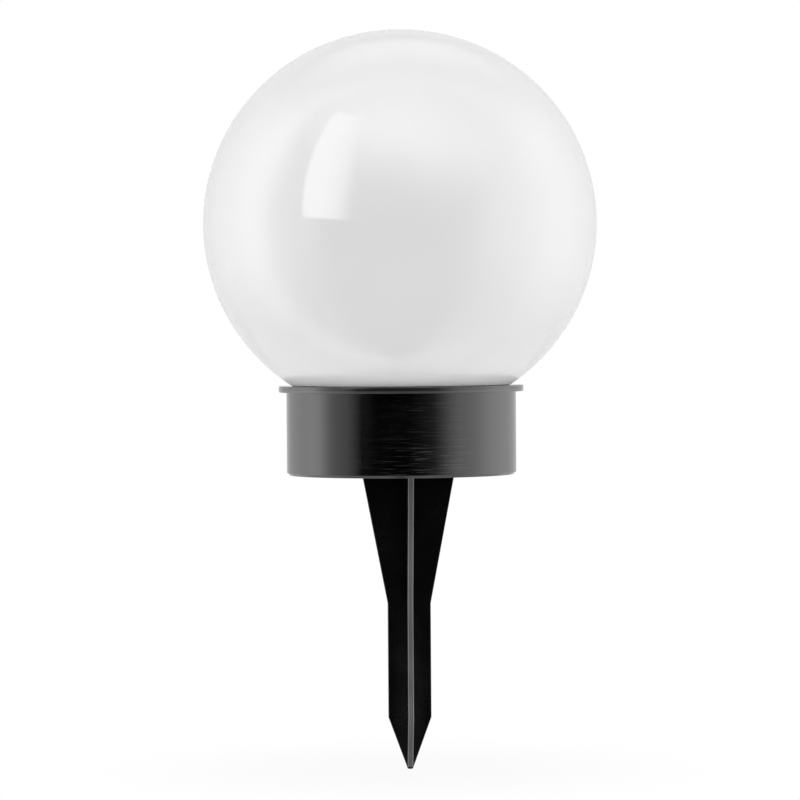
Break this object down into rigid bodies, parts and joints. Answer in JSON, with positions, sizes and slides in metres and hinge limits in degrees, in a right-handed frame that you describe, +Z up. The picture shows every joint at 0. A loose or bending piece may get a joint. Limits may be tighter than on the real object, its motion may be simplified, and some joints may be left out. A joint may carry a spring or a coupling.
{
  "type": "solar spike light",
  "caption": "Garden light with an opal ball globe that twists into a round black base on a cross-bladed ground spike, with a solar panel, lamps and battery inside.",
  "frame": {"origin": "on the vertical axis at the underside of the base, where the spike enters the ground", "axes": "+Z up along the axis through the globe, -Z down the spike, +X right in the picture's view"},
  "size_m": [0.15, 0.15, 0.282],
  "materials": {
    "opal_globe": "glossy opal, lets light through",
    "base_black": "satin black with fine turned lines",
    "spike_black": "satin black moulding",
    "deck_black": "matt black moulding",
    "screw_steel": "zinc plated",
    "panel_backing": "white laminate",
    "solar_cell": "dark blue silicon",
    "panel_window": "clear resin over the cells",
    "led_lens": "clear epoxy",
    "contact_metal": "nickel plated spring steel",
    "board_green": "solder resist",
    "chip_black": "moulded package",
    "inductor_green": "resin coated",
    "capacitor_blue": "sleeved can",
    "switch_shell": "folded steel shell",
    "knob_white": "satin",
    "cell_wrap": "shrink wrapped sleeve",
    "seal_rubber": "soft rubber",
    "wire_red": "soft insulation",
    "wire_black": "soft insulation"
  },
  "bodies": {
    "spike": {"spike": "spike_black"},
    "base": {"base_housing": "base_black", "module_deck": "deck_black", "deck_screws": "screw_steel", "solar_backing": "panel_backing", "solar_cells": "solar_cell", "solar_window": "panel_window", "led_front": "led_lens", "led_right": "led_lens", "led_rear": "led_lens", "led_left": "led_lens", "led_leads": "contact_metal", "driver_board": "board_green", "driver_chip": "chip_black", "inductor": "inductor_green", "capacitor": "capacitor_blue", "switch_body": "switch_shell", "battery_holder": "deck_black", "battery_cell": "cell_wrap", "battery_spring": "contact_metal", "spring_plate": "contact_metal", "positive_contact": "contact_metal", "battery_lead_positive": "wire_red", "battery_lead_negative": "wire_black", "panel_lead_positive": "wire_red", "panel_lead_negative": "wire_black"},
    "seal": {"globe_seal": "seal_rubber"},
    "globe": {"globe": "opal_globe"},
    "door": {"battery_door": "base_black", "door_seal": "seal_rubber"},
    "knob": {"switch_knob": "knob_white"}
  },
  "joints": [
    {"name": "head_lift", "type": "slide", "parent": "spike", "child": "base", "axis": [0, 0, 1], "range_m": [0, 0.02]},
    {"name": "globe_rise", "type": "slide", "parent": "base", "child": "seal", "axis": [0, 0, 1], "range_m": [0, 0.00401]},
    {"name": "globe_twist", "type": "hinge", "parent": "seal", "child": "globe", "pos_m": [0, 0, 0.03415], "axis": [0, 0, 1], "range_deg": [0, 60]},
    {"name": "battery_door_swing", "type": "hinge", "parent": "base", "child": "door", "pos_m": [0.03609, -0.00337, 0.0012], "axis": [-0.7071, -0.7071, 0], "range_deg": [0, 95]},
    {"name": "switch_slide", "type": "slide", "parent": "base", "child": "knob", "axis": [0.7071, -0.7071, 0], "range_m": [0, 0.002]}
  ],
  "couplings": [
    {"joint": "globe_rise", "follows": "globe_twist", "m_per_rad": 0.0038197}
  ]
}
